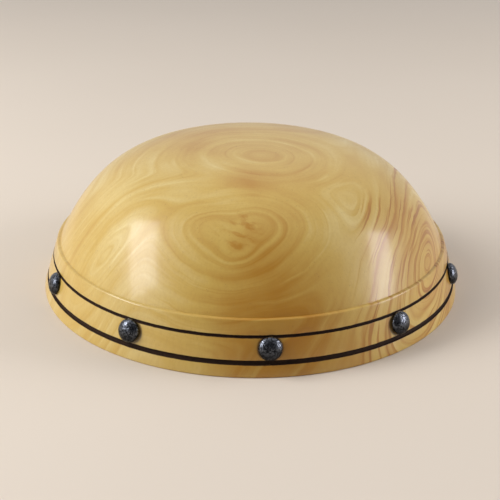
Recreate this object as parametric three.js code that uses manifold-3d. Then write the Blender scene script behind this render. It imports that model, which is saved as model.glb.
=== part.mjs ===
// Turned wooden money box: a hollow dome standing on its rim, with two burnt grooves, a ring of
// decorative nails, a coin slot in the rear shoulder, and a screwed base disc with a rubber bung.
// Millimetres, +Z up, the front faces -Y. The origin is on the axis, level with the rim's underside.

import * as THREE from 'three';
import { mergeVertices } from 'three/addons/utils/BufferGeometryUtils.js';
import Module from 'manifold-3d';

const wasm = await Module();
wasm.setup();

// Driving dimensions: the outside of the shell
const RIM_RADIUS = 108.2; // where the band's slope would meet the table
const BAND_HEIGHT = 25.1;
const BAND_LEAN = 0.313; // radius lost per millimetre of height
const RIM_CHAMFER = 0.8;
const DOME_RADIUS = 98.7;
const TOTAL_HEIGHT = 71.8;
const CROWN_SHARE = 0.15; // share of the rise that falls away as a shallow parabola
const SHOULDER_POWER = 4.7; // the rest falls away with this power of the radius
const GROOVES = [
  { height: 6.6, width: 2.0, depth: 1.1 },
  { height: 17.8, width: 1.2, depth: 0.9 },
];

// Driving dimensions: the hollow
const WALL = 9;
const CAVITY_RADIUS = 88.4;
const LEDGE_RADIUS = 81;
const LEDGE_TOP = 18.5;
const REBATE_RADIUS = 90.3;
const GAP = 0.3; // clearance between pieces that touch

// Driving dimensions: the coin slot, cut straight down through the rear shoulder
const SLOT_LENGTH = 36;
const SLOT_WIDTH = 5;
const SLOT_CENTRE_Y = 72;

// Driving dimensions: the base disc, its screws and the bung
const DISC_RECESS = 3.5;
const DISC_THICKNESS = 6;
const BUNG_HOLE_RADIUS = 17.3;
const SCREW_COUNT = 4;
const SCREW_CIRCLE = 85.6;
const SCREW_LENGTH = 16;
const SCREW_HEAD_RADIUS = 3.5;
const SCREW_HEAD_HEIGHT = 2.6;
const SCREW_SHANK_RADIUS = 1.6;
const SCREW_FLUSH = 0.2; // how far the head sits below the disc's face
const BUNG_FLANGE_RADIUS = 21;
const BUNG_FLANGE_THICKNESS = 2;
const BUNG_PLUG_LENGTH = 9;
const BUNG_TAPER = 0.7;

// Driving dimensions: the decorative nails
const NAIL_COUNT = 10; // evenly spread, the first at the front
const NAIL_HEIGHT = 12.85;
const NAIL_HEAD_RADIUS = 5.5;
const NAIL_HEAD_HEIGHT = 3.6;
const NAIL_SHANK_RADIUS = 0.8;
const NAIL_SHANK_LENGTH = 10.5;

// How finely round shapes are faceted
const SHELL_SIDES = 64;
const DOME_STEPS = 12;
const CAVITY_STEPS = 8;

const wood = { color: 0xd6a04e, roughness: 0.35, metalness: 0 };
const plainWood = { color: 0xd9b27a, roughness: 0.55, metalness: 0 };
const blackenedIron = { color: 0x2c2d31, roughness: 0.32, metalness: 0.9 };
const brass = { color: 0xb8923f, roughness: 0.35, metalness: 0.9 };
const rubber = { color: 0x1d1c1b, roughness: 0.8, metalness: 0 };

const point = (radius, height) => new THREE.Vector2(radius, height);
const bandRadius = (height) => RIM_RADIUS - BAND_LEAN * height;
const rise = (u) => 1 - CROWN_SHARE * u ** 2 - (1 - CROWN_SHARE) * u ** SHOULDER_POWER;
const domeHeight = (radius) =>
  BAND_HEIGHT + (TOTAL_HEIGHT - BAND_HEIGHT) * rise(radius / DOME_RADIUS);
const cavityHeight = (radius) =>
  BAND_HEIGHT + (TOTAL_HEIGHT - WALL - BAND_HEIGHT) * rise(radius / CAVITY_RADIUS);

// Turns a profile of (radius, height) points about +Z.
function turned(profile, sides) {
  return new THREE.LatheGeometry(profile, sides).rotateX(Math.PI / 2);
}

// A closed geometry as a solid, with its shared vertices merged and its empty triangles left out.
function toSolid(geometry) {
  const plain = geometry.index ? geometry.toNonIndexed() : geometry.clone();
  plain.deleteAttribute('normal');
  plain.deleteAttribute('uv');
  const merged = mergeVertices(plain, 1e-4);
  const corners = [];
  for (let i = 0; i < merged.index.count; i += 3) {
    const [a, b, c] = [0, 1, 2].map((k) => merged.index.getX(i + k));
    if (a !== b && b !== c && c !== a) {
      corners.push(a, b, c);
    }
  }
  const triVerts = new Uint32Array(corners);
  const vertProperties = merged.attributes.position.array;
  return new wasm.Manifold(new wasm.Mesh({ numProp: 3, vertProperties, triVerts }));
}

function toGeometry(solid) {
  const { vertProperties, triVerts } = solid.getMesh();
  const geometry = new THREE.BufferGeometry();
  geometry.setAttribute('position', new THREE.BufferAttribute(vertProperties, 3));
  geometry.setIndex(new THREE.BufferAttribute(triVerts, 1));
  geometry.computeVertexNormals();
  return geometry;
}

// The blank with every cutter taken out of it.
function cut(blank, cutters) {
  let solid = toSolid(blank);
  for (const cutter of cutters) {
    solid = solid.subtract(toSolid(cutter));
  }
  return toGeometry(solid);
}

// A rod of one radius from one height to another, standing on +Z.
function rod(radius, bottom, top, sides) {
  const profile = [point(0, bottom), point(radius, bottom), point(radius, top), point(0, top)];
  return turned(profile, sides);
}

// Points down one side of a curve of height over radius, evenly spread round its shoulder.
function shoulder(curve, fullRadius, steps) {
  const points = [];
  for (let i = 0; i <= steps; i += 1) {
    const radius = fullRadius * Math.sin((i / steps) * Math.PI * 0.5);
    points.push(point(radius, curve(radius)));
  }
  return points;
}

function groove({ height, width, depth }) {
  const [low, high] = [height - width / 2, height + width / 2];
  const [innerLow, innerHigh] = [height - width / 4, height + width / 4];
  return [
    point(bandRadius(low), low),
    point(bandRadius(innerLow) - depth, innerLow),
    point(bandRadius(innerHigh) - depth, innerHigh),
    point(bandRadius(high), high),
  ];
}

function shellBlank() {
  const rebateTop = DISC_RECESS + DISC_THICKNESS + GAP;
  const cavity = shoulder(cavityHeight, CAVITY_RADIUS, CAVITY_STEPS);
  const dome = shoulder(domeHeight, DOME_RADIUS, DOME_STEPS).reverse();
  return turned([
    ...cavity,
    point(LEDGE_RADIUS, LEDGE_TOP),
    point(LEDGE_RADIUS, rebateTop),
    point(REBATE_RADIUS, rebateTop),
    point(REBATE_RADIUS, 0),
    point(RIM_RADIUS - RIM_CHAMFER, 0),
    point(bandRadius(RIM_CHAMFER), RIM_CHAMFER),
    ...GROOVES.flatMap(groove),
    point(bandRadius(BAND_HEIGHT), BAND_HEIGHT),
    ...dome,
  ], SHELL_SIDES);
}

// A slot with round ends, long in X, that runs from inside the cavity to above the dome.
function slotCutter() {
  const half = SLOT_LENGTH / 2 - SLOT_WIDTH / 2;
  const outline = new THREE.Shape();
  outline.absarc(half, 0, SLOT_WIDTH / 2, -Math.PI / 2, Math.PI / 2);
  outline.absarc(-half, 0, SLOT_WIDTH / 2, Math.PI / 2, Math.PI * 1.5);
  const options = { depth: TOTAL_HEIGHT - LEDGE_TOP, bevelEnabled: false, curveSegments: 5 };
  return new THREE.ExtrudeGeometry(outline, options).translate(0, SLOT_CENTRE_Y, BAND_HEIGHT);
}

// Leads a shape that stands on +Z to a nail's place: its foot on the band, its top pointing out.
function nailPlace(index) {
  const angle = (index / NAIL_COUNT) * Math.PI * 2;
  const outward = new THREE.Vector3(Math.sin(angle), -Math.cos(angle), 0);
  const normal = outward.clone().setZ(BAND_LEAN).normalize();
  const foot = outward.clone().multiplyScalar(bandRadius(NAIL_HEIGHT)).setZ(NAIL_HEIGHT);
  const turn = new THREE.Quaternion().setFromUnitVectors(new THREE.Vector3(0, 0, 1), normal);
  return new THREE.Matrix4().compose(foot, turn, new THREE.Vector3(1, 1, 1));
}

function screwPlace(index) {
  const angle = ((index + 0.5) / SCREW_COUNT) * Math.PI * 2;
  const place = new THREE.Matrix4();
  const x = SCREW_CIRCLE * Math.cos(angle);
  const y = SCREW_CIRCLE * Math.sin(angle);
  return place.makeTranslation(x, y, DISC_RECESS + SCREW_FLUSH);
}

function domeShell() {
  const cutters = [slotCutter()];
  for (let i = 0; i < NAIL_COUNT; i += 1) {
    const bore = rod(NAIL_SHANK_RADIUS + GAP, -NAIL_SHANK_LENGTH - 2 * GAP, 4, 8);
    cutters.push(bore.applyMatrix4(nailPlace(i)));
  }
  for (let i = 0; i < SCREW_COUNT; i += 1) {
    const bore = rod(SCREW_SHANK_RADIUS + GAP, 0, SCREW_LENGTH + GAP, 10);
    cutters.push(bore.applyMatrix4(screwPlace(i)));
  }
  return cut(shellBlank(), cutters);
}

// A countersunk screw standing on its head's flat face, point up, grown by a clearance.
function screwProfile(clearance) {
  const head = SCREW_HEAD_RADIUS + clearance;
  const shank = SCREW_SHANK_RADIUS + clearance;
  return [
    point(0, -clearance),
    point(head, -clearance),
    point(head, 0.3),
    point(shank, SCREW_HEAD_HEIGHT),
    point(shank, SCREW_LENGTH - 2 * SCREW_SHANK_RADIUS),
    point(0, SCREW_LENGTH + clearance),
  ];
}

function baseDisc() {
  const top = DISC_RECESS + DISC_THICKNESS;
  const blank = turned([
    point(BUNG_HOLE_RADIUS, DISC_RECESS),
    point(REBATE_RADIUS - GAP - 0.5, DISC_RECESS),
    point(REBATE_RADIUS - GAP, DISC_RECESS + 0.5),
    point(REBATE_RADIUS - GAP, top),
    point(BUNG_HOLE_RADIUS, top),
    point(BUNG_HOLE_RADIUS, DISC_RECESS),
  ], SHELL_SIDES);
  const cutters = [];
  for (let i = 0; i < SCREW_COUNT; i += 1) {
    cutters.push(turned(screwProfile(GAP), 16).applyMatrix4(screwPlace(i)));
  }
  return cut(blank, cutters);
}

// A rubber bung: a flange under the disc and a plug that tapers as it goes up through the hole.
function bung() {
  const flangeTop = DISC_RECESS - GAP;
  const flangeBottom = flangeTop - BUNG_FLANGE_THICKNESS;
  const plugTop = flangeTop + BUNG_PLUG_LENGTH;
  const plugRadius = BUNG_HOLE_RADIUS - GAP;
  return turned([
    point(0, flangeBottom),
    point(BUNG_FLANGE_RADIUS - 0.6, flangeBottom),
    point(BUNG_FLANGE_RADIUS, flangeBottom + 0.6),
    point(BUNG_FLANGE_RADIUS, flangeTop),
    point(plugRadius, flangeTop),
    point(plugRadius - BUNG_TAPER, plugTop - 1),
    point(plugRadius - BUNG_TAPER - 1, plugTop),
    point(0, plugTop),
  ], 48);
}

// A domed nail with its head's flat underside just clear of the wood and its shank pointing down.
function nail() {
  const profile = [
    point(0, -NAIL_SHANK_LENGTH),
    point(NAIL_SHANK_RADIUS, 2 - NAIL_SHANK_LENGTH),
    point(NAIL_SHANK_RADIUS, GAP),
    point(NAIL_HEAD_RADIUS - 0.3, GAP),
  ];
  for (let i = 0; i <= 4; i += 1) {
    const angle = (i / 4) * (Math.PI / 2);
    const height = GAP + 0.4 + (NAIL_HEAD_HEIGHT - 0.4) * Math.sin(angle);
    profile.push(point(NAIL_HEAD_RADIUS * Math.cos(angle), height));
  }
  profile[profile.length - 1].x = 0;
  return turned(profile, 16);
}

const moneyBox = new THREE.Group();

function add(name, geometry, finish, place = new THREE.Matrix4()) {
  const mesh = new THREE.Mesh(geometry, new THREE.MeshStandardMaterial(finish));
  mesh.name = name;
  mesh.applyMatrix4(place);
  moneyBox.add(mesh);
}

add('dome_shell', domeShell(), wood);
add('base_disc', baseDisc(), plainWood);
add('bung', bung(), rubber);
for (let i = 0; i < SCREW_COUNT; i += 1) {
  add(`base_screw_${i + 1}`, turned(screwProfile(0), 12), brass, screwPlace(i));
}
for (let i = 0; i < NAIL_COUNT; i += 1) {
  const number = String(i + 1).padStart(2, '0');
  add(`nail_${number}`, nail(), blackenedIron, nailPlace(i));
}

export default moneyBox;
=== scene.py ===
"""Looks of the turned wooden money box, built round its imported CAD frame.

+Z is up, the front nail faces -Y and the coin slot is on the +Y side. Named sizes are in
millimetres; the scene and its materials work in metres. Each CAD node is replaced by a finer
piece of the same size: the turned shell with its grooves and slot, the hammered nails, the
base disc, its screws and the rubber bung.
"""

from math import atan2, cos, degrees, hypot, pi, radians, sin, tau

import bmesh
import bpy
import numpy as np
from mathutils import Matrix, Vector, noise


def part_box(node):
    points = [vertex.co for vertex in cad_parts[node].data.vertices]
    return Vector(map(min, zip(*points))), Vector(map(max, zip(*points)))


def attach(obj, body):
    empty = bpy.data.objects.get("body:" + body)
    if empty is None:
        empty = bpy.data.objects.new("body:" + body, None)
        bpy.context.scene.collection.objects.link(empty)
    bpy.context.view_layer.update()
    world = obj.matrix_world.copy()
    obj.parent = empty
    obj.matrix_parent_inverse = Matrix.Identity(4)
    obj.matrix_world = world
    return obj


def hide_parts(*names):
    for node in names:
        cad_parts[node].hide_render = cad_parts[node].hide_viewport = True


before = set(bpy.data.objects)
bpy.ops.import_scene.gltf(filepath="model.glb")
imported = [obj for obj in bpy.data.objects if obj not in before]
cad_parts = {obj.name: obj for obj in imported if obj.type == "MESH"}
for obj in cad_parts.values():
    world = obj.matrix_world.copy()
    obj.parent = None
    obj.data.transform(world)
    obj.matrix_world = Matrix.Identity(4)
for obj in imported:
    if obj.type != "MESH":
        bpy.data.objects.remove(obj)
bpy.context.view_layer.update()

MM = 0.001
NAIL_NODES = sorted(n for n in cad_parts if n.startswith("nail_"))
SCREW_NODES = sorted(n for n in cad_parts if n.startswith("base_screw_"))

# ---------------------------------------------------------------- sizes, in millimetres

SHELL_LOW, SHELL_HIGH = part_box("dome_shell")
DISC_LOW, DISC_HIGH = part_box("base_disc")
BUNG_LOW, BUNG_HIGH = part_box("bung")
SCREW_LOW, SCREW_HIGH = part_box("base_screw_1")

TOTAL_HEIGHT = SHELL_HIGH.z / MM
DISC_BOTTOM = DISC_LOW.z / MM
DISC_TOP = DISC_HIGH.z / MM
DISC_RADIUS = DISC_HIGH.x / MM
GAP = 0.3

RIM_RADIUS = 108.2  # where the band's slope would meet the table
BAND_HEIGHT = 25.1
BAND_LEAN = 0.313  # radius lost per millimetre of height
DOME_RADIUS = 98.7
CROWN_SHARE = 0.15
SHOULDER_POWER = 4.7
WALL = 9
CAVITY_RADIUS = 88.4
LEDGE_RADIUS = 81
LEDGE_TOP = 18.5
REBATE_RADIUS = DISC_RADIUS + GAP
GROOVES = ((6.6, 2.0, 1.1), (17.8, 1.2, 0.9))  # height, width, depth

SLOT_LENGTH = 36
SLOT_WIDTH = 5
SLOT_CENTRE_Y = 72
SLOT_ROUNDING = 0.7
SLOT_STRAIGHT_STEPS = 24

BUNG_HOLE_RADIUS = 17.3
BUNG_TAPER = 0.7
BUNG_FLANGE_THICKNESS = 2

NAIL_HEIGHT = 12.85
NAIL_HEAD_RADIUS = 5.5
NAIL_HEAD_HEIGHT = 3.6
NAIL_SHANK_RADIUS = 0.8
NAIL_SHANK_LENGTH = 10.5
NAIL_HEAD_LIP = 0.35
NAIL_HEAD_STEPS = 36
DENT_SIZE = 1.3
DENT_DEPTH = 0.10

SCREW_HEAD_RADIUS = 3.5
SCREW_HEAD_HEIGHT = 2.6
SCREW_SHANK_RADIUS = 1.6
SCREW_LENGTH = (SCREW_HIGH.z - SCREW_LOW.z) / MM
THREAD_START = SCREW_LENGTH * 0.4
THREAD_PITCH = 1.3
THREAD_CORE_RADIUS = 1.15
THREAD_DEPTH = 0.42
THREAD_STEPS = 150
TIP_LENGTH = 3.2

CAMERA_AZIMUTH = -5.0
CAMERA_DISTANCE = 557.0
CAMERA_ELEVATION = 25.34
CAMERA_PITCH = 24.05
CAMERA_YAW = 0.05
CAMERA_ROLL = 0.71
CAMERA_LENS = 74.9

LIGHT_DISTANCE = 1200
LIGHT_TARGET_HEIGHT = 35
FLOOR_RADIUS = 12000


def band_radius(height):
    return RIM_RADIUS - BAND_LEAN * height


def rise(share):
    return 1 - CROWN_SHARE * share**2 - (1 - CROWN_SHARE) * share**SHOULDER_POWER


def dome_height(radius):
    return BAND_HEIGHT + (TOTAL_HEIGHT - BAND_HEIGHT) * rise(radius / DOME_RADIUS)


def cavity_height(radius):
    return BAND_HEIGHT + (TOTAL_HEIGHT - WALL - BAND_HEIGHT) * rise(radius / CAVITY_RADIUS)


# ---------------------------------------------------------------- mesh helpers


def filleted(corners, steps=5):
    """A path through (radius, height, fillet) corners, each fillet rounded off as an arc."""
    path = []
    for i, (x, y, fillet) in enumerate(corners):
        corner = Vector((x, y))
        if not fillet or i in (0, len(corners) - 1):
            path.append(corner)
            continue
        back = Vector(corners[i - 1][:2]) - corner
        ahead = Vector(corners[i + 1][:2]) - corner
        reach = min(fillet, back.length * 0.49, ahead.length * 0.49)
        start = corner + back.normalized() * reach
        end = corner + ahead.normalized() * reach
        for k in range(steps + 1):
            t = k / steps
            path.append(start * (1 - t) ** 2 + corner * 2 * t * (1 - t) + end * t**2)
    return path


def curve_corners(height_of, full_radius, steps):
    """Corners along a dome from its apex to its foot, closer together towards the foot."""
    radii = [full_radius * sin(i / steps * pi / 2) for i in range(steps + 1)]
    return [(radius, height_of(radius), 0) for radius in radii]


def revolve(name, path, sides, closed=False):
    """A mesh turned about Z from a path of (radius, height) points, all in millimetres.

    An open path starts and ends on the axis. Each face keeps its step along the path in the
    face attribute "step", so that materials can be given by zone.
    """
    angles = [tau * k / sides for k in range(sides)]
    verts, rings = [], []
    for radius, height in path:
        if radius < 1e-6:
            rings.append([len(verts)])
            verts.append((0, 0, height * MM))
            continue
        rings.append(list(range(len(verts), len(verts) + sides)))
        verts += [(radius * cos(a) * MM, radius * sin(a) * MM, height * MM) for a in angles]
    pairs = list(zip(rings, rings[1:]))
    if closed:
        pairs.append((rings[-1], rings[0]))
    faces, steps = [], []
    for step, (one, two) in enumerate(pairs):
        for k in range(sides):
            after = (k + 1) % sides
            corners = [one[k % len(one)], one[after % len(one)]]
            corners += [two[after % len(two)], two[k % len(two)]]
            faces.append(list(dict.fromkeys(corners)))
            steps.append(step)
    mesh = bpy.data.meshes.new(name)
    mesh.from_pydata(verts, [], faces)
    attribute = mesh.attributes.new("step", "INT", "FACE")
    attribute.data.foreach_set("value", steps)
    face_outward(mesh)
    return mesh


def face_outward(mesh):
    shape = bmesh.new()
    shape.from_mesh(mesh)
    bmesh.ops.recalc_face_normals(shape, faces=shape.faces)
    shape.to_mesh(mesh)
    shape.free()


def piece(name, mesh, materials, sharp_angle=40):
    """A named object from a mesh, smooth but for edges sharper than sharp_angle degrees."""
    for material in materials[len(mesh.materials):]:
        mesh.materials.append(material)
    mesh.shade_smooth()
    mesh.set_sharp_from_angle(angle=radians(sharp_angle))
    obj = bpy.data.objects.new(name, mesh)
    bpy.context.scene.collection.objects.link(obj)
    return obj


def finish_piece(obj, body, slot, *nodes):
    """Puts a piece on its body, in place of its CAD nodes. Its slot argument is not used."""
    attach(obj, body)
    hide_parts(*nodes)
    return obj


def set_zones(mesh, zones):
    """Gives each face of a turned mesh the material index of its step along the path."""
    steps = np.zeros(len(mesh.polygons), int)
    mesh.attributes["step"].data.foreach_get("value", steps)
    mesh.polygons.foreach_set("material_index", np.array(zones)[steps])


def cut(mesh, cutters, materials):
    """The mesh with each cutter mesh taken out of it. Cut faces keep their material index."""
    target = bpy.data.objects.new("cut_target", mesh)
    bpy.context.scene.collection.objects.link(target)
    for material in materials:
        mesh.materials.append(material)
    made = []
    for cutter in cutters:
        for material in materials:
            cutter.materials.append(material)
        tool = bpy.data.objects.new("cut_tool", cutter)
        bpy.context.scene.collection.objects.link(tool)
        made.append(tool)
        step = target.modifiers.new("cut", "BOOLEAN")
        step.operation = "DIFFERENCE"
        step.solver = "MANIFOLD"
        step.object = tool
    bpy.context.view_layer.update()
    graph = bpy.context.evaluated_depsgraph_get()
    result = bpy.data.meshes.new_from_object(target.evaluated_get(graph), depsgraph=graph)
    for obj in (target, *made):
        bpy.data.objects.remove(obj)
    return result


# ---------------------------------------------------------------- material helpers


class Graph:
    """A node tree of a material or a world, with short calls for the nodes used here."""

    def __init__(self, name=None, world=None):
        owner = world or bpy.data.materials.new(name)
        owner.use_nodes = True
        self.material = owner
        self.nodes = owner.node_tree.nodes
        self.links = owner.node_tree.links
        self.shader = self.nodes.get("Principled BSDF")
        coordinates = self.add("ShaderNodeTexCoord").outputs
        self.place = coordinates["Object"]
        self.direction = coordinates["Generated"]

    def put(self, socket, value):
        if isinstance(value, bpy.types.NodeSocket):
            self.links.new(value, socket)
        else:
            socket.default_value = value

    def add(self, kind, inputs=None, **settings):
        node = self.nodes.new(kind)
        for key, value in settings.items():
            setattr(node, key, value)
        for key, value in (inputs or {}).items():
            self.put(node.inputs[key], value)
        return node

    def math(self, operation, *values, clamp=False):
        node = self.add("ShaderNodeMath", operation=operation, use_clamp=clamp)
        for socket, value in zip(node.inputs, values):
            self.put(socket, value)
        return node.outputs[0]

    def vector(self, operation, *values, output=0, scale=None):
        node = self.add("ShaderNodeVectorMath", operation=operation)
        for socket, value in zip(node.inputs, values):
            self.put(socket, value)
        if scale is not None:
            self.put(node.inputs["Scale"], scale)
        return node.outputs[output]

    def ease(self, value, low, high, start=0.0, end=1.0):
        """Goes smoothly from start to end as value goes from low to high."""
        inputs = {0: value, 1: low, 2: high, 3: start, 4: end}
        return self.add("ShaderNodeMapRange", inputs, interpolation_type="SMOOTHSTEP").outputs[0]

    def noise(self, place, scale, detail=2.0, rough=0.5, output="Fac"):
        inputs = {"Vector": place, "Scale": scale, "Detail": detail, "Roughness": rough}
        return self.add("ShaderNodeTexNoise", inputs).outputs[output]

    def stretched(self, place, scale):
        return self.vector("MULTIPLY", place, scale)

    def mix(self, factor, one, two, blend="MIX"):
        node = self.add("ShaderNodeMix", data_type="RGBA", blend_type=blend)
        for key, value in ((0, factor), (6, one), (7, two)):
            self.put(node.inputs[key], value)
        return node.outputs[2]

    def ramp(self, factor, *stops):
        """A colour that blends between stops, each a (position, colour) pair."""
        node = self.add("ShaderNodeValToRGB", {"Fac": factor})
        elements = node.color_ramp.elements
        while len(elements) < len(stops):
            elements.new(0.5)
        for element, (position, colour) in zip(elements, stops):
            element.position = position
            element.color = (*colour, 1)
        return node.outputs["Color"]

    def bump(self, height, distance, strength=1.0):
        inputs = {"Height": height, "Distance": distance, "Strength": strength}
        return self.add("ShaderNodeBump", inputs).outputs[0]

    def finish(self, **inputs):
        for key, value in inputs.items():
            self.put(self.shader.inputs[key.replace("_", " ")], value)
        return self.material


def grey(level):
    return (level, level, level)


# ---------------------------------------------------------------- the wood

# Centres that the growth rings lie round, three of them merged into the heart-shaped figure at
# the front. Each has the azimuth (round from the front towards +X) and radius of a point on the
# dome; the azimuth, elevation and roll of the line through it; how far its rings are stretched
# across and up; the age of the wood at the centre; and how far it blends into those before it.
GROWTH_CENTRES = (
    (-4, 72, -11, 50, 0, 1.2, 0.9, 0, 0),
    (-19, 74, -11, 50, 0, 1.2, 0.9, 2, 14),
    (-10, 79, -11, 50, 0, 1.2, 0.9, 1, 14),
    (10, 14, -5, 90, 0, 1.3, 1.2, 1, 12),
    (-53, 92, -52, 35, -26, 0.8, 2.6, 6, 10),
    (58, 97, 66, 22, -64, 0.85, 2.0, -14, 22),
)
RING_SPACING = 6.5
HEART_OUTLINE = 10.5  # age of the pale ring round the heart-shaped figure
HEART_MIDDLE = (-10, 74)  # azimuth and radius

# Where the wood is deeper (positive) or paler: azimuth, radius and height of the middle, reach,
# and by how much. These are partly the wood's own tone and partly painted shade: the two deep
# ones on the front darken the wood where the lamps reach least.
TONE_AND_SHADE_PATCHES = (
    (0, 102, 8, 52, 0.38),
    (-2, 80, 48, 34, 0.16),
    (-46, 90, 42, 46, -0.20),
    (-75, 70, 60, 45, -0.10),
    (62, 96, 32, 44, 0.16),
    (-16, 61, 65, 16, -0.10),
    (29, 77, 55, 18, -0.10),
    (-8, 42, 70, 20, 0.16),
    (25, 34, 71, 22, 0.14),
    (-45, 40, 70, 26, -0.20),
    (0, 0, 72, 75, 0.12),
)


def on_azimuth(azimuth, radius, height):
    """A point in millimetres, from its azimuth in degrees round from -Y towards +X."""
    a = radians(azimuth)
    return Vector((radius * sin(a), -radius * cos(a), height))


def on_dome(azimuth, radius):
    """A point on the outside of the dome, in millimetres."""
    return on_azimuth(azimuth, radius, dome_height(radius))


def line_axes(azimuth, elevation, roll):
    """A rotation whose Z points out along a line, and X and Y lie across it."""
    a, e = radians(azimuth), radians(elevation)
    out = Vector((sin(a) * cos(e), -cos(a) * cos(e), sin(e)))
    across = Vector((cos(a), sin(a), 0))
    up = out.cross(across)
    axes = Matrix((across, up, out)).transposed()
    return axes @ Matrix.Rotation(radians(roll), 3, "Z")


def growth(g, place):
    """The age of the wood at a place, as a distance in metres from the growth centres."""
    nearest = None
    for azimuth, radius, *line, across, up, start, blend in GROWTH_CENTRES:
        mapping = g.add("ShaderNodeMapping", {"Vector": place}, vector_type="TEXTURE")
        mapping.inputs["Location"].default_value = on_dome(azimuth, radius) * MM
        mapping.inputs["Rotation"].default_value = line_axes(*line).to_euler()
        mapping.inputs["Scale"].default_value = (across, up, 1000)
        distance = g.vector("LENGTH", mapping.outputs[0], output="Value")
        distance = g.math("ADD", distance, start * MM)
        if nearest is None:
            nearest = distance
        else:
            nearest = g.math("SMOOTH_MIN", nearest, distance, blend * MM)
    return nearest


def warped(g, place):
    """The place moved about a little, so that rings and streaks run unevenly."""
    broad = g.vector("SUBTRACT", g.noise(place, 16, 1, output="Color"), (0.5, 0.5, 0.5))
    fine = g.vector("SUBTRACT", g.noise(place, 75, 2, output="Color"), (0.5, 0.5, 0.5))
    moved = g.vector("ADD", place, g.vector("SCALE", broad, scale=0.012))
    return g.vector("ADD", moved, g.vector("SCALE", fine, scale=0.0022))


def streaks(g, place, age, per_metre, along, detail=2.0):
    """Noise that changes fast across the growth rings and slowly along them."""
    inputs = {"Vector": place, "W": g.math("MULTIPLY", age, per_metre / along)}
    inputs |= {"Scale": along, "Detail": detail, "Roughness": 0.55}
    node = g.add("ShaderNodeTexNoise", inputs, noise_dimensions="4D")
    return node.outputs["Fac"]


def tone_and_shade_patches(g, place):
    """The sum of the soft patches: partly the wood's own tone and partly painted shade on the
    front.
    """
    total = None
    for azimuth, radius, height, reach, depth in TONE_AND_SHADE_PATCHES:
        middle = on_azimuth(azimuth, radius, height) * MM
        away = g.vector("DISTANCE", place, tuple(middle), output="Value")
        patch = g.ease(away, reach * MM, 0, 0, depth)
        total = patch if total is None else g.math("ADD", total, patch)
    return total


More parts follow.
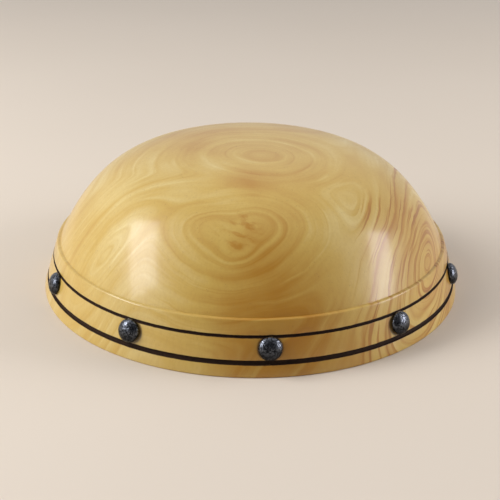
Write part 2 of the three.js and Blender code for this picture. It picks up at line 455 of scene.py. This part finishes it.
def shell_wood():
    """Honey-coloured varnished wood, figured by its growth rings."""
    g = Graph("shell_wood")
    place = warped(g, g.place)
    age = growth(g, place)
    x, y, z = g.add("ShaderNodeSeparateXYZ", {0: g.place}).outputs[:3]

    # The rings are strong on the right flank, up to the shoulder.
    flank = g.math("MULTIPLY", g.ease(x, 0.037, 0.050), g.ease(z, 0.063, 0.055))

    # Rings of uneven width: the late wood is a thin dark line with a soft inner side.
    uneven = streaks(g, place, age, 90, 14, 1)
    count = g.math("DIVIDE", age, RING_SPACING * MM)
    count = g.math("MULTIPLY_ADD", uneven, 1.6, count)
    share = g.math("FRACT", count)
    number = g.math("FLOOR", count)
    lot = g.add("ShaderNodeTexWhiteNoise", {"W": number}, noise_dimensions="1D").outputs[0]
    late = g.ramp(share, (0.0, grey(0.35)), (0.06, grey(0)), (0.50, grey(0.05)),
                  (0.84, grey(0.45)), (0.93, grey(1)), (1.0, grey(0.35)))
    pale = g.ramp(share, (0.04, grey(0.2)), (0.10, grey(1)), (0.30, grey(0)))
    pale = g.math("MULTIPLY", pale, g.ease(g.noise(place, 34, 1), 0.45, 0.62))
    lines = g.ease(streaks(g, place, age, 700, 22, 2), 0.52, 0.66)

    # Depth of colour: 0 is the palest wood, 1 the brown of a late ring.
    calm = g.ease(age, 0.004, 0.010, 0, 0.055)
    strength = g.math("MULTIPLY_ADD", flank, 0.25, calm)
    strength = g.math("MULTIPLY", strength, g.math("MULTIPLY_ADD", lot, 0.9, 0.5))
    depth = g.math("MULTIPLY_ADD", late, strength, 0.34)
    depth = g.math("MULTIPLY_ADD", pale, -0.10, depth)
    outline = g.math("ABSOLUTE", g.math("SUBTRACT", age, HEART_OUTLINE * MM))
    depth = g.math("MULTIPLY_ADD", g.ease(outline, 0.0016, 0), -0.12, depth)
    depth = g.math("MULTIPLY_ADD", lines, g.math("MULTIPLY_ADD", flank, 0.42, calm), depth)

    # Short slanting strokes in the middle of the heart-shaped figure.
    middle = on_dome(*HEART_MIDDLE) * MM
    inside = g.ease(g.vector("DISTANCE", place, tuple(middle), output="Value"), 0.015, 0.006)
    slant = g.add("ShaderNodeMapping", {"Vector": place}, vector_type="TEXTURE")
    slant.inputs["Rotation"].default_value = (0, radians(22), 0)
    slant.inputs["Scale"].default_value = (0.019, 0.0048, 0.0024)
    strokes = g.ease(g.noise(slant.outputs[0], 1, 3, 0.5), 0.48, 0.68)
    depth = g.math("MULTIPLY_ADD", g.math("MULTIPLY", strokes, inside), 0.22, depth)

    # Soft patches, partly painted shade on the front, and blotches and bands of deeper colour.
    depth = g.math("ADD", depth, tone_and_shade_patches(g, place))
    blotch = g.math("SUBTRACT", g.noise(place, 26, 3), 0.5)
    depth = g.math("MULTIPLY_ADD", blotch, 0.5, depth)
    band = g.math("SUBTRACT", streaks(g, place, age, 170, 18, 3), 0.5)
    depth = g.math("MULTIPLY_ADD", band, 0.62, depth, clamp=True)
    base = g.ramp(depth, (0.0, (0.76, 0.615, 0.265)), (0.35, (0.62, 0.420, 0.100)),
                  (0.70, (0.47, 0.228, 0.027)), (1.0, (0.36, 0.137, 0.016)))

    # Fibres and short dark flecks.
    fibres = g.noise(g.stretched(place, (900, 900, 160)), 1, 3, 0.6)
    base = g.mix(g.ease(fibres, 0.35, 0.8, 0.0, 0.16), base, (0.40, 0.20, 0.05, 1))
    flecks = g.noise(g.stretched(place, (1500, 450, 1500)), 1, 1)
    fleck = g.ease(flecks, 0.70, 0.80)
    base = g.mix(g.math("MULTIPLY", fleck, 0.30), base, (0.24, 0.11, 0.03, 1))

    # A brown scorch beside the burnt grooves.
    jitter = g.math("MULTIPLY", g.math("SUBTRACT", g.noise(g.place, 300, 2), 0.5), 0.0006)
    z = g.math("ADD", z, jitter)
    for centre, width, _ in GROOVES:
        away = g.math("ABSOLUTE", g.math("SUBTRACT", z, centre * MM))
        scorch = g.ease(away, (width / 2 + 0.30) * MM, width / 2 * MM, 0, 0.80)
        base = g.mix(scorch, base, (0.10, 0.045, 0.018, 1))

    # Painted shadow: a dark ring just outside each nail's head, where the nail's shadow falls on
    # the wood.
    turn = g.math("ARCTAN2", x, g.math("MULTIPLY", y, -1))
    step = tau / len(NAIL_NODES)
    turn = g.math("WRAP", turn, step / 2, -step / 2)
    along = g.math("MULTIPLY", turn, band_radius(NAIL_HEIGHT) * MM)
    above = g.math("MULTIPLY", g.math("SUBTRACT", z, NAIL_HEIGHT * MM), hypot(1, BAND_LEAN))
    away = g.math("SQRT", g.math("ADD", g.math("POWER", along, 2), g.math("POWER", above, 2)))
    painted_nail_shadow = g.ease(away, (NAIL_HEAD_RADIUS + 0.9) * MM, (NAIL_HEAD_RADIUS - 0.1) * MM, 0, 0.75)
    base = g.mix(painted_nail_shadow, base, (0.060, 0.030, 0.014, 1))

    grain = streaks(g, place, age, 900, 30, 3)
    height = g.math("MULTIPLY", grain, g.math("MULTIPLY_ADD", flank, 0.8, 0.2))
    height = g.math("MULTIPLY_ADD", fibres, 0.12, height)
    height = g.math("MULTIPLY_ADD", fleck, -0.2, height)
    rough = g.math("MULTIPLY_ADD", fibres, 0.10, 0.30)
    g.put(g.shader.inputs["Normal"], g.bump(height, 0.00012, 1.0))
    return g.finish(Base_Color=base, Roughness=rough, Coat_Weight=0.52, Coat_Roughness=0.14)


def burnt_wood():
    """The charred bottom of the grooves."""
    g = Graph("burnt_wood")
    soot = g.noise(g.place, 420, 3, 0.6)
    base = g.mix(soot, (0.012, 0.006, 0.0035, 1), (0.050, 0.027, 0.016, 1))
    g.put(g.shader.inputs["Normal"], g.bump(soot, 0.0002, 1.0))
    rough = g.math("MULTIPLY_ADD", soot, 0.3, 0.5)
    return g.finish(Base_Color=base, Roughness=rough, Specular_IOR_Level=0.12)


def raw_wood(name, pale, deep):
    """Bare turned wood, as inside the hollow and on the base disc."""
    g = Graph(name)
    place = warped(g, g.place)
    lines = g.noise(g.stretched(place, (30, 420, 420)), 1, 4, 0.65)
    broad = g.noise(place, 22, 2)
    tone = g.math("ADD", g.math("MULTIPLY", lines, 0.6), g.math("MULTIPLY", broad, 0.4))
    base = g.ramp(tone, (0.32, deep), (0.68, pale))
    pores = g.ease(g.noise(g.stretched(place, (180, 2400, 2400)), 1, 1), 0.66, 0.76)
    base = g.mix(g.math("MULTIPLY", pores, 0.4), base, tuple(c * 0.45 for c in deep) + (1,))
    normal = g.bump(g.math("MULTIPLY_ADD", pores, -0.7, lines), 0.00008, 0.7)
    rough = g.math("MULTIPLY_ADD", lines, 0.2, 0.45)
    g.put(g.shader.inputs["Normal"], normal)
    return g.finish(Base_Color=base, Roughness=rough)


def nail_iron():
    """Blackened iron, brighter on the hammered crests, with a painted highlight that makes the
    upper side of each head brighter and the lower side darker.
    """
    g = Graph("nail_iron")
    worn = g.add("ShaderNodeAttribute", attribute_name="worn").outputs["Fac"]
    grain = g.noise(g.place, 2400, 3, 0.6)
    patch = g.noise(g.place, 600, 2)
    z = g.add("ShaderNodeSeparateXYZ", {0: g.place}).outputs[2]
    # Painted highlight: the upper side of each head is brighter and the lower side darker.
    painted_top_highlight = g.ease(z, 0.0110, 0.0160, 0.20, 1.0)
    bright = g.math("MULTIPLY_ADD", g.math("SUBTRACT", grain, 0.5), 0.9, worn)
    bright = g.ease(g.math("MULTIPLY_ADD", patch, 0.3, bright), 0.25, 1.25)
    bright = g.math("MULTIPLY", bright, painted_top_highlight)
    base = g.mix(bright, (0.010, 0.011, 0.013, 1), (0.245, 0.265, 0.305, 1))
    rough = g.ease(bright, 0, 1, 0.36, 0.24)
    g.put(g.shader.inputs["Normal"], g.bump(grain, 0.00003, 0.8))
    return g.finish(Base_Color=base, Roughness=rough, Metallic=1.0)


def brass():
    g = Graph("screw_brass")
    dull = g.noise(g.place, 500, 3)
    base = g.mix(g.ease(dull, 0.4, 0.7), (0.62, 0.42, 0.16, 1), (0.36, 0.22, 0.09, 1))
    scratch = g.noise(g.stretched(g.place, (5000, 300, 300)), 1, 2)
    rough = g.math("MULTIPLY_ADD", dull, 0.25, 0.2)
    g.put(g.shader.inputs["Normal"], g.bump(scratch, 0.00002, 0.6))
    return g.finish(Base_Color=base, Roughness=rough, Metallic=1.0)


def rubber():
    g = Graph("bung_rubber")
    dust = g.noise(g.place, 90, 4, 0.7)
    base = g.mix(g.ease(dust, 0.5, 0.8, 0.0, 0.6), (0.018, 0.017, 0.016, 1), (0.07, 0.065, 0.06, 1))
    grain = g.noise(g.place, 3200, 2)
    rough = g.math("MULTIPLY_ADD", dust, 0.25, 0.55)
    g.put(g.shader.inputs["Normal"], g.bump(grain, 0.00005, 0.6))
    return g.finish(Base_Color=base, Roughness=rough)


SHELL_WOOD = shell_wood()
BURNT_WOOD = burnt_wood()
HOLLOW_WOOD = raw_wood("hollow_wood", (0.62, 0.40, 0.19), (0.42, 0.235, 0.09))
DISC_WOOD = raw_wood("disc_wood", (0.71, 0.50, 0.26), (0.55, 0.34, 0.15))
NAIL_IRON = nail_iron()
SCREW_BRASS = brass()
BUNG_RUBBER = rubber()


# ---------------------------------------------------------------- places


def nail_place(node):
    """Leads a shape that stands on +Z to a nail's place on the band."""
    low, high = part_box(node)
    centre = (low + high) / 2
    azimuth = degrees(atan2(centre.x, -centre.y))
    foot = on_azimuth(azimuth, band_radius(NAIL_HEIGHT), NAIL_HEIGHT) * MM
    outward = Vector((foot.x, foot.y, 0)).normalized()
    normal = (outward + Vector((0, 0, BAND_LEAN))).normalized()
    turn = Vector((0, 0, 1)).rotation_difference(normal).to_matrix().to_4x4()
    return Matrix.Translation(foot) @ turn


def screw_place(node):
    low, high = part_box(node)
    return Matrix.Translation(((low.x + high.x) / 2, (low.y + high.y) / 2, low.z))


# ---------------------------------------------------------------- the shell


def groove_corners(height, width, depth):
    low, high = height - width / 2, height + width / 2
    return [
        (band_radius(low), low, 0.12),
        (band_radius(low + 0.1) - depth, low + 0.1, 0.5),
        (band_radius(high - 0.1) - depth, high - 0.1, 0.5),
        (band_radius(high), high, 0.12),
    ]


def shell_paths():
    """The inside of the shell from its apex to the rebate, and the outside back to its apex."""
    ledge = DISC_TOP + GAP
    inside = curve_corners(cavity_height, CAVITY_RADIUS, 40)
    inside += [(LEDGE_RADIUS, LEDGE_TOP, 1.2), (LEDGE_RADIUS, ledge, 0.4)]
    inside += [(REBATE_RADIUS, ledge, 0.2), (REBATE_RADIUS, 0, 0.5)]
    outside = [(band_radius(0), 0, 0.9)]
    for groove in GROOVES:
        outside += groove_corners(*groove)
    outside += [(band_radius(BAND_HEIGHT), BAND_HEIGHT, 0.9)]
    outside += list(reversed(curve_corners(dome_height, DOME_RADIUS, 84)))
    return inside, outside


def slot_outline(grow, points=16):
    """Points round the slot, seen from above, grown outwards by a distance."""
    half = (SLOT_LENGTH - SLOT_WIDTH) / 2
    radius = SLOT_WIDTH / 2 + grow
    outline = []
    for side, start in ((1, -pi / 2), (-1, pi / 2)):
        for k in range(points + 1):
            a = start + pi * k / points
            outline.append((side * half + radius * cos(a), SLOT_CENTRE_Y + radius * sin(a)))
        for k in range(1, SLOT_STRAIGHT_STEPS):
            x = side * half * (1 - 2 * k / SLOT_STRAIGHT_STEPS)
            outline.append((x, SLOT_CENTRE_Y + side * radius))
    return outline


def slot_cutter():
    """A straight slot whose mouth is rounded where it meets the dome."""
    levels = [(0, None)]
    for k in range(7):
        a = k / 6 * pi / 2
        levels.append((SLOT_ROUNDING * (1 - cos(a)), SLOT_ROUNDING * (sin(a) - 1)))
    levels.append((SLOT_ROUNDING * 1.6, SLOT_ROUNDING))
    levels.append((SLOT_ROUNDING * 1.6, TOTAL_HEIGHT))
    verts, rings = [], []
    for grow, lift in levels:
        ring = []
        for x, y in slot_outline(grow):
            z = BAND_HEIGHT if lift is None else dome_height(hypot(x, y)) + lift
            ring.append(len(verts))
            verts.append((x * MM, y * MM, z * MM))
        rings.append(ring)
    count = len(rings[0])
    faces = [rings[0][::-1], rings[-1]]
    for one, two in zip(rings, rings[1:]):
        faces += [(one[k], one[(k + 1) % count], two[(k + 1) % count], two[k])
                  for k in range(count)]
    mesh = bpy.data.meshes.new("slot_cutter")
    mesh.from_pydata(verts, [], faces)
    face_outward(mesh)
    mesh.polygons.foreach_set("material_index", [1] * len(mesh.polygons))
    return mesh


def bore(radius, bottom, top, place):
    """A cylinder to cut a round hole with, stood at a place."""
    mesh = revolve("bore", [(0, bottom), (radius, bottom), (radius, top), (0, top)], 24)
    mesh.transform(place)
    mesh.polygons.foreach_set("material_index", [1] * len(mesh.polygons))
    return mesh


def shell_zone(one, two):
    """The material index between two points of the shell's path: outside, hollow or groove."""
    middle = (one + two) / 2
    on_band = middle.x > REBATE_RADIUS + 1 and 1 < middle.y < BAND_HEIGHT - 1
    if on_band and middle.x < band_radius(middle.y) - 0.01:
        return 2
    ceiling = cavity_height(min(middle.x, CAVITY_RADIUS)) + 1
    return 1 if middle.x < CAVITY_RADIUS + 2.5 and middle.y < ceiling else 0


def dome_shell():
    inside, outside = shell_paths()
    path = filleted(inside + outside)
    blank = revolve("dome_shell", path, 360)
    set_zones(blank, [shell_zone(one, two) for one, two in zip(path, path[1:])])
    cutters = [slot_cutter()]
    for node in NAIL_NODES:
        low = -NAIL_SHANK_LENGTH - 2 * GAP
        cutters.append(bore(NAIL_SHANK_RADIUS + GAP, low, 1.5, nail_place(node)))
    for node in SCREW_NODES:
        cutters.append(bore(SCREW_SHANK_RADIUS + GAP, 0, SCREW_LENGTH + GAP, screw_place(node)))
    materials = [SHELL_WOOD, HOLLOW_WOOD, BURNT_WOOD]
    mesh = cut(blank, cutters, materials)
    return finish_piece(piece("shell", mesh, materials), "money_box", "shell_wood", "dome_shell")


# ---------------------------------------------------------------- the nails


def hammered(co, seed):
    """How high a point of a nail's head stands after hammering: 0 in a crease to 1 on a crest."""
    spot = co / DENT_SIZE + Vector((seed * 7.1, seed * 3.3, 0))
    broad = min(1.0, abs(noise.noise(spot)) * 3)
    fine = min(1.0, abs(noise.noise(spot * 2.2)) * 3)
    return broad * 0.6 + fine * 0.4


def nail(node, seed):
    """A domed nail with a hammered head, a hollow underside and a pointed shank."""
    head = []
    for k in range(NAIL_HEAD_STEPS + 1):
        a = k / NAIL_HEAD_STEPS * pi / 2
        radius = NAIL_HEAD_RADIUS * cos(a)
        height = GAP + NAIL_HEAD_LIP + (NAIL_HEAD_HEIGHT - NAIL_HEAD_LIP) * sin(a)
        head.append((radius if k < NAIL_HEAD_STEPS else 0, height))
    under = [(NAIL_HEAD_RADIUS - 0.1, GAP + 0.1), (NAIL_HEAD_RADIUS - 0.35, GAP)]
    under += [(NAIL_HEAD_RADIUS - 0.7, GAP + 0.1), (NAIL_HEAD_RADIUS * 0.75, GAP + 1.0)]
    under += [(NAIL_HEAD_RADIUS * 0.4, GAP + 1.7), (NAIL_SHANK_RADIUS * 1.3, GAP + 1.9)]
    shank = [(NAIL_SHANK_RADIUS, GAP + 1.4), (NAIL_SHANK_RADIUS, 2.5 - NAIL_SHANK_LENGTH)]
    shank += [(0, -NAIL_SHANK_LENGTH)]
    path = list(reversed(shank)) + list(reversed(under)) + head
    mesh = revolve(node, path, 96)
    worn = mesh.attributes.new("worn", "FLOAT", "POINT")
    values = []
    for vertex in mesh.vertices:
        co = vertex.co / MM
        across = hypot(co.x, co.y)
        if co.z <= GAP + NAIL_HEAD_LIP * 0.9:
            values.append(0.3)
            continue
        crest = hammered(co, seed)
        edge = min(1.0, (NAIL_HEAD_RADIUS - across) / 0.8)
        depth = DENT_DEPTH * (1 - crest) * max(0.25, edge)
        inward = Vector((co.x, co.y, co.z * 1.3)).normalized()
        vertex.co = (co - inward * depth) * MM
        values.append(crest)
    worn.data.foreach_set("value", values)
    mesh.transform(nail_place(node))
    obj = piece(node + "_hammered", mesh, [NAIL_IRON], 60)
    return finish_piece(obj, "money_box", "nail_iron", node)


# ---------------------------------------------------------------- underneath


def countersink(node):
    """The hole in the disc for a screw and its head."""
    head = SCREW_HEAD_RADIUS + GAP
    shank = SCREW_SHANK_RADIUS + GAP
    path = [(0, -GAP), (head, -GAP), (head, 0.3), (shank, SCREW_HEAD_HEIGHT)]
    path += [(shank, SCREW_LENGTH), (0, SCREW_LENGTH)]
    mesh = revolve("countersink", path, 48)
    mesh.transform(screw_place(node))
    return mesh


def base_disc():
    """The disc that closes the hollow, with softened edges and holes for its screws."""
    corners = [
        (BUNG_HOLE_RADIUS, DISC_BOTTOM, 0.6),
        (DISC_RADIUS, DISC_BOTTOM, 0.8),
        (DISC_RADIUS, DISC_TOP, 0.3),
        (BUNG_HOLE_RADIUS, DISC_TOP, 0.4),
    ]
    middle = ((BUNG_HOLE_RADIUS + DISC_RADIUS) / 2, DISC_BOTTOM, 0)
    path = filleted([middle, *corners[1:], corners[0], middle])[:-1]
    blank = revolve("base_disc", path, 240, closed=True)
    mesh = cut(blank, [countersink(node) for node in SCREW_NODES], [DISC_WOOD])
    obj = piece("base_disc_turned", mesh, [DISC_WOOD])
    return finish_piece(obj, "money_box", "disc_wood", "base_disc")


def screw(node):
    """A countersunk screw, its head down, with a thread round its shank and a cross recess."""
    path = filleted([
        (0, 0.0, 0),
        (SCREW_HEAD_RADIUS, 0.0, 0.15),
        (SCREW_HEAD_RADIUS, 0.3, 0.1),
        (SCREW_SHANK_RADIUS, SCREW_HEAD_HEIGHT, 0.5),
        (SCREW_SHANK_RADIUS, THREAD_START, 0),
    ])
    for k in range(1, THREAD_STEPS + 1):
        height = THREAD_START + (SCREW_LENGTH - THREAD_START) * k / THREAD_STEPS
        path.append((SCREW_SHANK_RADIUS, height))
    path.append((0, SCREW_LENGTH))
    mesh = revolve(node, path, 32)
    for vertex in mesh.vertices:
        co = vertex.co / MM
        if co.z < THREAD_START or hypot(co.x, co.y) < 1e-6:
            continue
        turn = atan2(co.y, co.x) / tau
        share = (co.z / THREAD_PITCH - turn) % 1.0
        crest = max(0.0, 1 - abs(share - 0.5) * 4)
        taper = min(1.0, (SCREW_LENGTH - co.z) / TIP_LENGTH)
        radius = (THREAD_CORE_RADIUS + THREAD_DEPTH * crest) * max(0.05, taper)
        scale = radius / hypot(co.x, co.y)
        vertex.co = Vector((co.x * scale, co.y * scale, co.z)) * MM
    arms = []
    for turn in (0, pi / 2):
        arm = bpy.data.meshes.new("recess")
        shape = bmesh.new()
        bmesh.ops.create_cube(shape, size=1)
        for v in shape.verts:
            taper = 1.0 if v.co.z < 0 else 0.45
            v.co = Vector((v.co.x * 4.0 * taper, v.co.y * 0.75 * taper, (v.co.z + 0.2) * 2.6)) * MM
        shape.to_mesh(arm)
        shape.free()
        arm.transform(Matrix.Rotation(turn + pi / 5, 4, "Z"))
        arms.append(arm)
    mesh = cut(mesh, arms, [SCREW_BRASS])
    mesh.transform(screw_place(node))
    obj = piece(node + "_threaded", mesh, [SCREW_BRASS], 30)
    return finish_piece(obj, "money_box", "screw_brass", node)


def bung():
    """A rubber bung: a flange with a raised edge and a finger boss, and a ribbed tapered plug."""
    low, high = BUNG_LOW.z / MM, BUNG_HIGH.z / MM
    flange = BUNG_HIGH.x / MM
    flange_top = low + BUNG_FLANGE_THICKNESS
    plug = BUNG_HOLE_RADIUS - GAP
    corners = [
        (0, low + 0.3, 0),
        (5.5, low + 0.3, 0.5),
        (6.2, low, 0.4),
        (7.8, low, 0.4),
        (8.5, low + 0.7, 0.4),
        (flange - 3.2, low + 0.7, 0.5),
        (flange - 2.6, low, 0.5),
        (flange - 0.2, low, 0.5),
        (flange, low + 1.0, 0.5),
        (flange, flange_top, 0.25),
        (plug, flange_top, 0.3),
    ]
    ribs = 4
    rib_height = (high - flange_top - 1.2) / ribs
    for k in range(ribs):
        bottom = flange_top + 0.4 + k * rib_height
        radius = plug - BUNG_TAPER * (k + 0.5) / ribs
        corners += [(radius - 0.35, bottom, 0.2), (radius, bottom + rib_height * 0.3, 0.35)]
        corners += [(radius, bottom + rib_height * 0.55, 0.35)]
    corners += [(plug - BUNG_TAPER - 0.3, high - 0.6, 0.3), (plug - BUNG_TAPER - 1.2, high, 0.4)]
    corners += [(plug - 4, high, 0.5), (plug - 4.8, high - 4, 0.6), (0, high - 4, 0)]
    mesh = revolve("bung_moulded", filleted(corners), 144)
    obj = piece("bung_moulded", mesh, [BUNG_RUBBER])
    return finish_piece(obj, "bung", "bung_rubber", "bung")


# ---------------------------------------------------------------- floor, lights and camera


def floor():
    """A pale matt disc that fades to near white away from the object."""
    g = Graph("floor_pale")
    tone = g.noise(g.place, 3, 2)
    base = g.mix(tone, (0.68, 0.60, 0.50, 1), (0.72, 0.64, 0.54, 1))
    away = g.vector("LENGTH", g.place, output="Value")
    base = g.mix(g.ease(away, 0.5, 3.0), base, (0.90, 0.88, 0.87, 1))
    g.put(g.shader.inputs["Normal"], g.bump(g.noise(g.place, 900, 2), 0.00003, 0.4))
    material = g.finish(Base_Color=base, Roughness=0.8)
    mesh = bpy.data.meshes.new("floor")
    sides = 96
    angles = [tau * k / sides for k in range(sides)]
    rim = [(FLOOR_RADIUS * MM * cos(a), FLOOR_RADIUS * MM * sin(a), 0) for a in angles]
    mesh.from_pydata(rim, [], [range(sides)])
    mesh.materials.append(material)
    obj = bpy.data.objects.new("floor", mesh)
    bpy.context.scene.collection.objects.link(obj)


def area_light(name, azimuth, elevation, size, power, colour, roll=0, glossy=True):
    """A soft rectangular light that faces the middle of the object. Its size is in metres."""
    target = Vector((0, 0, LIGHT_TARGET_HEIGHT)) * MM
    a, e = radians(azimuth), radians(elevation)
    back = Vector((sin(a) * cos(e), -cos(a) * cos(e), sin(e)))
    light = bpy.data.lights.new(name, "AREA")
    light.shape = "RECTANGLE"
    light.size, light.size_y = size
    light.energy = power
    light.color = colour
    obj = bpy.data.objects.new(name, light)
    obj.location = target + back * LIGHT_DISTANCE * MM
    turned = Matrix.Rotation(radians(roll), 4, "Z")
    facing = (-back).to_track_quat("-Z", "Y").to_matrix().to_4x4()
    obj.rotation_euler = (facing @ turned).to_euler()
    obj.visible_glossy = glossy
    bpy.context.scene.collection.objects.link(obj)


def lights():
    """A leaning window and a soft fill on each side, in a pale room that is darker in front."""
    area_light("left_window", -83, 33, (0.33, 0.86), 6.1, (0.96, 0.96, 1.0), roll=52)
    area_light("left_fill", -92, 38, (0.60, 0.80), 7.6, (1.0, 0.98, 0.96), glossy=False)
    area_light("right_window", 80, 20, (0.28, 0.78), 4.8, (0.97, 0.95, 1.0), roll=-50)
    area_light("right_fill", 95, 20, (0.60, 0.60), 3.8, (1.0, 0.98, 0.96), glossy=False)
    world = bpy.data.worlds.new("studio")
    bpy.context.scene.world = world
    world.use_nodes = True
    g = Graph(world=world)
    dark_side = Vector((0, -cos(radians(30)), sin(radians(30))))
    facing = g.vector("DOT_PRODUCT", g.direction, tuple(dark_side), output="Value")
    strength = g.ease(facing, 0.35, 0.95, 0.55, 0.07)
    background = g.nodes["Background"]
    background.inputs["Color"].default_value = (0.98, 0.97, 1.0, 1)
    g.put(background.inputs["Strength"], strength)


def camera():
    """The main viewpoint, in front and a little above."""
    data = bpy.data.cameras.new("camera")
    data.lens = CAMERA_LENS
    data.sensor_width = 36
    data.clip_start = 0.01
    obj = bpy.data.objects.new("camera", data)
    e = radians(CAMERA_ELEVATION)
    away = Vector((0, -CAMERA_DISTANCE * cos(e), CAMERA_DISTANCE * sin(e))) * MM
    obj.matrix_world = (
        Matrix.Rotation(radians(CAMERA_AZIMUTH), 4, "Z")
        @ Matrix.Translation(away)
        @ Matrix.Rotation(radians(CAMERA_YAW), 4, "Z")
        @ Matrix.Rotation(radians(90 - CAMERA_PITCH), 4, "X")
        @ Matrix.Rotation(radians(CAMERA_ROLL), 4, "Z")
    )
    bpy.context.scene.collection.objects.link(obj)
    bpy.context.scene.camera = obj


# ---------------------------------------------------------------- the scene

camera()
lights()
floor()
dome_shell()
for index, name in enumerate(NAIL_NODES):
    nail(name, index)
base_disc()
for name in SCREW_NODES:
    screw(name)
bung()
bpy.context.scene.view_settings.view_transform = "Standard"
